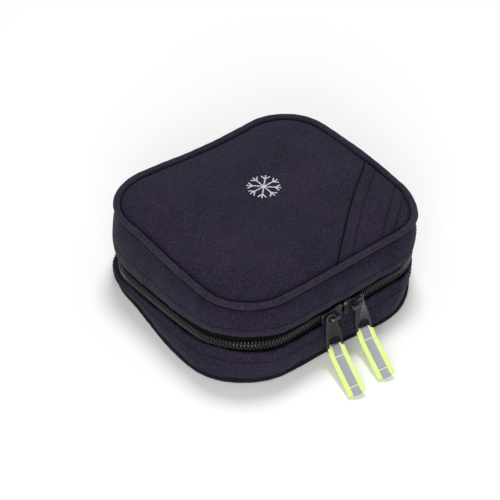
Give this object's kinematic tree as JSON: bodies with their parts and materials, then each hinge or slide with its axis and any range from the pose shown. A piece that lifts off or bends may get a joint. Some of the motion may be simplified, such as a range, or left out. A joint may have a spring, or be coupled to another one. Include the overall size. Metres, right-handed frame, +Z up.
{
  "type": "insulin cooling case",
  "caption": "Soft insulated zip-around case for insulin pens, near-square with rounded corners, a piped crowned lid with a corner strap, and webbing pulls on the zip sliders.",
  "frame": {"origin": "middle of the bottom panel, on the plane the case stands on", "axes": "+Z up; -Y towards the side where the zip sliders meet, +Y towards the fabric hinge; +X along the zip of the front side"},
  "size_m": [0.1972, 0.2357, 0.0771],
  "materials": {
    "cloth": "matte twill",
    "trim": "matte bound fabric",
    "foam": "closed-cell foam",
    "foil": "aluminised lining",
    "zip_tape": "woven tape",
    "zip_coil": "satin nylon",
    "lining_card": "fabric over stiff card",
    "elastic": "knitted elastic",
    "gel_film": "clear glossy film over blue gel",
    "net": "knitted net",
    "zip_metal": "dark satin",
    "webbing": "fluorescent woven",
    "reflective": "grey reflective"
  },
  "bodies": {
    "base": {"bottom_panel": "cloth", "base_piping": "trim", "base_side_band": "cloth", "base_wall_foam": "foam", "base_rim_foam": "foam", "base_floor_foam": "foam", "base_liner": "foil", "base_zip_tape": "zip_tape", "base_zip_chain": "zip_coil", "hinge_leaf_lower": "cloth", "pen_card": "lining_card", "pen_loops_left": "elastic", "pen_loops_right": "elastic"},
    "lid": {"lid_top_panel": "cloth", "lid_piping": "trim", "lid_side_band": "cloth", "lid_wall_foam": "foam", "lid_rim_foam": "foam", "lid_top_foam": "foam", "lid_liner": "foil", "lid_zip_tape": "zip_tape", "lid_zip_chain": "zip_coil", "hinge_leaf_upper": "cloth", "corner_strap": "cloth", "gel_pack": "gel_film", "net_panel": "net", "net_gusset": "trim"},
    "slider_left": {"slider_left": "zip_metal"},
    "pull_tab_left": {"pull_tab_left": "zip_metal"},
    "pull_tape_left": {"pull_tape_left": "webbing", "reflective_strip_left": "reflective"},
    "slider_right": {"slider_right": "zip_metal"},
    "pull_tab_right": {"pull_tab_right": "zip_metal"},
    "pull_tape_right": {"pull_tape_right": "webbing", "reflective_strip_right": "reflective"}
  },
  "joints": [
    {"name": "lid_hinge", "type": "hinge", "parent": "base", "child": "lid", "pos_m": [0, 0.09292, 0.01804], "axis": [-1, 0, 0], "range_deg": [0, 115]},
    {"name": "slider_left_slide", "type": "slide", "parent": "base", "child": "slider_left", "axis": [1, 0, 0], "range_m": [-0.0265, 0]},
    {"name": "slider_right_slide", "type": "slide", "parent": "base", "child": "slider_right", "axis": [1, 0, 0], "range_m": [0, 0.0325]},
    {"name": "pull_tab_left_swing", "type": "hinge", "parent": "slider_left", "child": "pull_tab_left", "pos_m": [-0.01715, -0.09545, 0.037], "axis": [0, 1, 0], "range_deg": [-5, 60]},
    {"name": "pull_tab_right_swing", "type": "hinge", "parent": "slider_right", "child": "pull_tab_right", "pos_m": [0.01035, -0.09545, 0.037], "axis": [0, -1, 0], "range_deg": [-5, 60]},
    {"name": "pull_tape_left_lift", "type": "hinge", "parent": "pull_tab_left", "child": "pull_tape_left", "pos_m": [-0.01715, -0.1015, 0.01274], "axis": [-0.9781, 0.2079, 0], "range_deg": [0, 90]},
    {"name": "pull_tape_right_lift", "type": "hinge", "parent": "pull_tab_right", "child": "pull_tape_right", "pos_m": [0.01035, -0.1015, 0.01274], "axis": [-0.9781, 0.2079, 0], "range_deg": [0, 90]}
  ]
}
